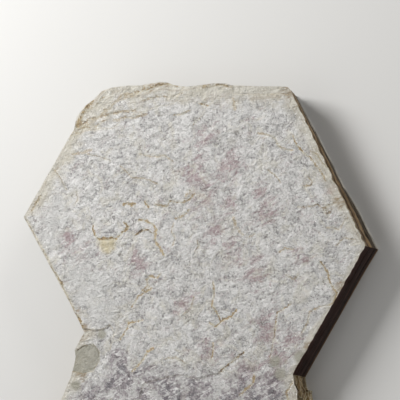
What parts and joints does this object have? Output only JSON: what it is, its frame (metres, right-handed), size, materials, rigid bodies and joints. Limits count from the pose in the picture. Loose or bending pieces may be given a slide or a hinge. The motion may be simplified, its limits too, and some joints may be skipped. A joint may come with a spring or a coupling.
{
  "type": "mica crystal",
  "caption": "Flat hexagonal book of mica in cleavage sheets, with a flared lower crystal grown on to it and a ragged broken lower end. It lies on its flat back.",
  "frame": {"origin": "on the flat back, under the middle of the piece", "axes": "+Z points out of the front face, up from what the piece lies on; +Y runs up the face from the broken lower end to the six-sided end; +X runs across the face to the right"},
  "size_m": [0.1194, 0.1292, 0.013],
  "materials": {
    "mica": "silvery lavender mica face, finely crinkled and pearly, with cream rims, iron-stained golden-brown cracks and dark reddish-brown sheet edges"
  },
  "bodies": {
    "root": {"mica_crystal": "mica"}
  },
  "joints": []
}
